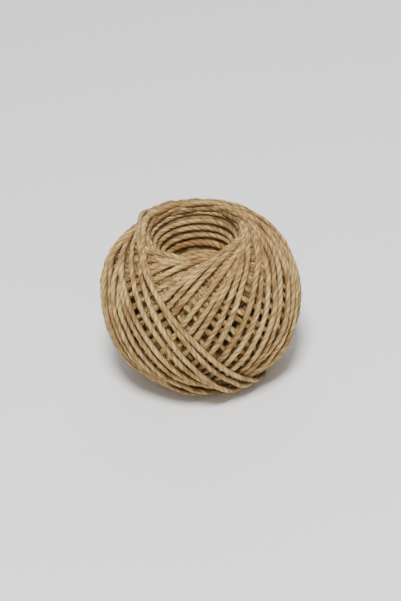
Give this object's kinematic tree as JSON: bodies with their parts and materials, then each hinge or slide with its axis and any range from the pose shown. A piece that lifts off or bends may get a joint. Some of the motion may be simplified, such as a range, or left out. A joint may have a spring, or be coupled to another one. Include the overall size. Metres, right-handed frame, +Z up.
{
  "type": "ball of twine",
  "caption": "Small cross-wound ball of natural jute twine with a hollow eye through it, standing on its flat foot.",
  "frame": {"origin": "on the floor, under the middle of the ball's outline", "axes": "+Z up along the wound eye, -Y towards the viewer of the picture, +X to the viewer's right"},
  "size_m": [0.0658, 0.0658, 0.0516],
  "materials": {
    "jute_twine": "matte, fibrous"
  },
  "bodies": {
    "root": {"twine_ball": "jute_twine"}
  },
  "joints": []
}
